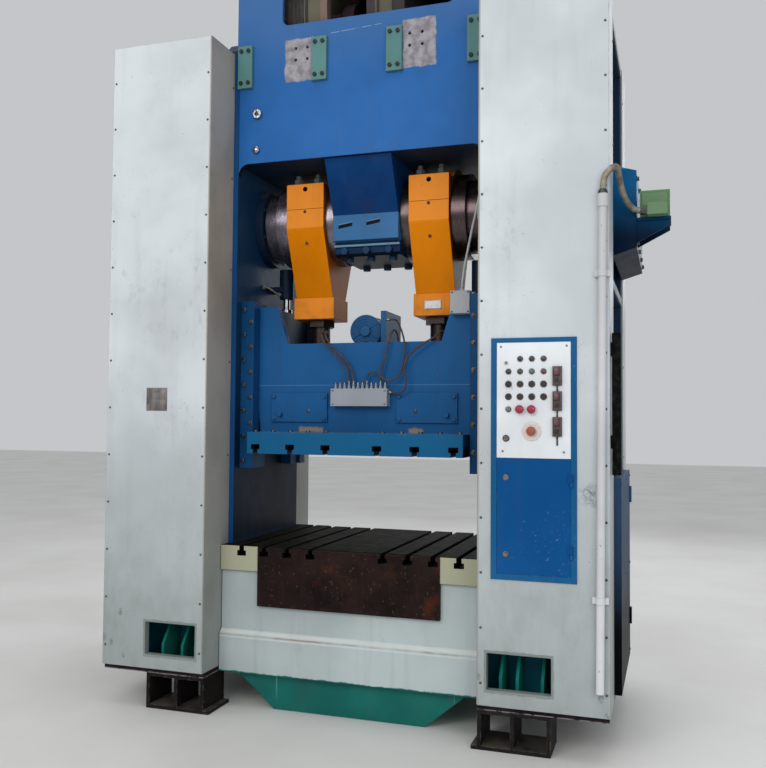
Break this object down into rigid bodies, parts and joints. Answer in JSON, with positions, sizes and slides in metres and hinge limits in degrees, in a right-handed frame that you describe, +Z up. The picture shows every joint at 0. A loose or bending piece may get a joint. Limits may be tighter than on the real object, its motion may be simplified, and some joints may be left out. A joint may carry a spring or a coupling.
{
  "type": "mechanical stamping press",
  "caption": "Straight-side mechanical press with two eccentric pitmans on one crankshaft, gibbed slide, T-slot bolster, gear train, flywheel and operator panel.",
  "frame": {"origin": "on the floor under the centre of the press, at the foot of the bed's belly, under the crank axis", "axes": "+X to the operator's right along the crankshaft, +Y from the operator to the back, +Z up"},
  "size_m": [3.007, 1.6972, 4.3],
  "materials": {
    "white_paint": "satin",
    "crown_blue": "satin",
    "deep_blue": "satin",
    "slide_blue": "satin",
    "door_blue": "satin",
    "light_blue": "satin",
    "orange_paint": "satin",
    "green_paint": "satin",
    "beige_paint": "satin",
    "grey_paint": "satin",
    "cream_paint": "satin",
    "rusty_steel": "rough",
    "dark_steel": "semi-rough",
    "bright_steel": "brushed",
    "bronze": "satin",
    "black_plastic": "matte",
    "red_plastic": "gloss",
    "lamp_plastic": "gloss",
    "black_rubber": "matte"
  },
  "bodies": {
    "frame": {"bed": "white_paint", "left_upright": "crown_blue", "right_upright": "crown_blue", "crown": "crown_blue", "bolster_plate": "dark_steel", "bed_front_plate": "rusty_steel", "machine_feet": "dark_steel", "gib_rails": "light_blue", "crown_brackets": "green_paint", "centre_bearing_cap": "light_blue", "bearing_flanges": "light_blue", "crank_bushes": "bronze", "left_front_cover": "white_paint", "right_front_cover": "white_paint", "rear_covers": "white_paint", "side_panels": "door_blue", "control_cabinet": "door_blue", "panel_plate": "white_paint", "pilot_lamps": "lamp_plastic", "panel_devices": "dark_steel", "conduit_pipe": "cream_paint", "flexible_conduit": "bright_steel", "crank_end_housing": "light_blue", "cam_switch_box": "green_paint", "light_curtain": "black_plastic", "main_motor": "grey_paint", "drive_belts": "black_rubber", "balance_cylinders": "light_blue"},
    "crank": {"crankshaft": "dark_steel", "main_gear": "dark_steel"},
    "pitmans": {"left_pitman": "orange_paint", "right_pitman": "orange_paint", "pitman_caps": "orange_paint", "adjusting_screws": "dark_steel"},
    "idler": {"idler_gear": "dark_steel"},
    "intermediate": {"intermediate_shaft": "dark_steel"},
    "clutch_shaft": {"drive_shaft": "beige_paint"},
    "flywheel_body": {"flywheel": "beige_paint"},
    "pulley": {"motor_pulley": "dark_steel"},
    "ram": {"slide": "slide_blue", "access_plates": "slide_blue", "lube_distributor": "grey_paint", "lube_hoses": "black_rubber", "adjusting_drive": "slide_blue", "balance_rods": "bright_steel"},
    "door": {"cabinet_door": "door_blue"},
    "upper_lock": {"upper_door_lock": "bright_steel"},
    "lower_lock": {"lower_door_lock": "bright_steel"},
    "selector": {"selector_switch": "black_plastic"},
    "key": {"key_switch": "bright_steel"},
    "stop_button": {"emergency_stop": "red_plastic"},
    "push_1": {"button_1": "black_plastic"},
    "push_2": {"button_2": "black_plastic"},
    "push_3": {"button_3": "black_plastic"},
    "push_4": {"button_4": "black_plastic"},
    "push_5": {"button_5": "black_plastic"},
    "push_6": {"button_6": "black_plastic"},
    "push_7": {"button_7": "black_plastic"},
    "mushroom_1": {"mushroom_button_1": "red_plastic"},
    "mushroom_2": {"mushroom_button_2": "red_plastic"}
  },
  "joints": [
    {"name": "crank_spin", "type": "hinge", "parent": "frame", "child": "crank", "pos_m": [0, 0, 2.7], "axis": [1, 0, 0], "continuous": true},
    {"name": "pitman_swing", "type": "hinge", "parent": "crank", "child": "pitmans", "pos_m": [0, 0, 2.75], "axis": [1, 0, 0], "continuous": true},
    {"name": "idler_spin", "type": "hinge", "parent": "frame", "child": "idler", "pos_m": [0, 0, 3.282], "axis": [1, 0, 0], "continuous": true},
    {"name": "intermediate_spin", "type": "hinge", "parent": "frame", "child": "intermediate", "pos_m": [0, 0, 3.564], "axis": [1, 0, 0], "continuous": true},
    {"name": "clutch_shaft_spin", "type": "hinge", "parent": "frame", "child": "clutch_shaft", "pos_m": [0, 0, 3.864], "axis": [1, 0, 0], "continuous": true},
    {"name": "flywheel_spin", "type": "hinge", "parent": "frame", "child": "flywheel_body", "pos_m": [0, 0, 3.864], "axis": [1, 0, 0], "continuous": true},
    {"name": "motor_spin", "type": "hinge", "parent": "frame", "child": "pulley", "pos_m": [0, 0.765, 3.864], "axis": [1, 0, 0], "continuous": true},
    {"name": "slide_stroke", "type": "slide", "parent": "frame", "child": "ram", "axis": [0, 0, 1], "range_m": [-0.1, 0]},
    {"name": "door_hinge", "type": "hinge", "parent": "frame", "child": "door", "pos_m": [1.1735, -0.718, 1.107], "axis": [0, 0, 1], "range_deg": [0, 120]},
    {"name": "upper_lock_turn", "type": "hinge", "parent": "door", "child": "upper_lock", "pos_m": [0.869, -0.704, 1.287], "axis": [0, -1, 0], "range_deg": [0, 90]},
    {"name": "lower_lock_turn", "type": "hinge", "parent": "door", "child": "lower_lock", "pos_m": [0.869, -0.704, 0.928], "axis": [0, -1, 0], "range_deg": [0, 90]},
    {"name": "button_1_press", "type": "slide", "parent": "frame", "child": "push_1", "axis": [0, 1, 0], "range_m": [0, 0.004], "stiffness_N_per_m": 800, "springref_m": -0.002},
    {"name": "button_2_press", "type": "slide", "parent": "frame", "child": "push_2", "axis": [0, 1, 0], "range_m": [0, 0.004], "stiffness_N_per_m": 800, "springref_m": -0.002},
    {"name": "button_3_press", "type": "slide", "parent": "frame", "child": "push_3", "axis": [0, 1, 0], "range_m": [0, 0.004], "stiffness_N_per_m": 800, "springref_m": -0.002},
    {"name": "button_4_press", "type": "slide", "parent": "frame", "child": "push_4", "axis": [0, 1, 0], "range_m": [0, 0.004], "stiffness_N_per_m": 800, "springref_m": -0.002},
    {"name": "button_5_press", "type": "slide", "parent": "frame", "child": "push_5", "axis": [0, 1, 0], "range_m": [0, 0.004], "stiffness_N_per_m": 800, "springref_m": -0.002},
    {"name": "button_6_press", "type": "slide", "parent": "frame", "child": "push_6", "axis": [0, 1, 0], "range_m": [0, 0.004], "stiffness_N_per_m": 800, "springref_m": -0.002},
    {"name": "button_7_press", "type": "slide", "parent": "frame", "child": "push_7", "axis": [0, 1, 0], "range_m": [0, 0.004], "stiffness_N_per_m": 800, "springref_m": -0.002},
    {"name": "mushroom_1_press", "type": "slide", "parent": "frame", "child": "mushroom_1", "axis": [0, 1, 0], "range_m": [0, 0.006], "stiffness_N_per_m": 900, "springref_m": -0.003},
    {"name": "mushroom_2_press", "type": "slide", "parent": "frame", "child": "mushroom_2", "axis": [0, 1, 0], "range_m": [0, 0.006], "stiffness_N_per_m": 900, "springref_m": -0.003},
    {"name": "emergency_stop_press", "type": "slide", "parent": "frame", "child": "stop_button", "axis": [0, 1, 0], "range_m": [0, 0.006], "stiffness_N_per_m": 1000, "springref_m": -0.003},
    {"name": "selector_turn", "type": "hinge", "parent": "frame", "child": "selector", "pos_m": [0.881, -0.71, 1.727], "axis": [0, 1, 0], "range_deg": [-90, 0]},
    {"name": "key_turn", "type": "hinge", "parent": "frame", "child": "key", "pos_m": [0.87, -0.71, 1.471], "axis": [0, 1, 0], "range_deg": [0, 90]}
  ],
  "couplings": [
    {"joint": "pitman_swing", "follows": "crank_spin", "ratio": -1},
    {"joint": "idler_spin", "follows": "crank_spin", "ratio": -2.0312},
    {"joint": "intermediate_spin", "follows": "crank_spin", "ratio": 4.3333},
    {"joint": "clutch_shaft_spin", "follows": "crank_spin", "ratio": -8.6667},
    {"joint": "motor_spin", "follows": "flywheel_spin", "ratio": 4.3333}
  ]
}
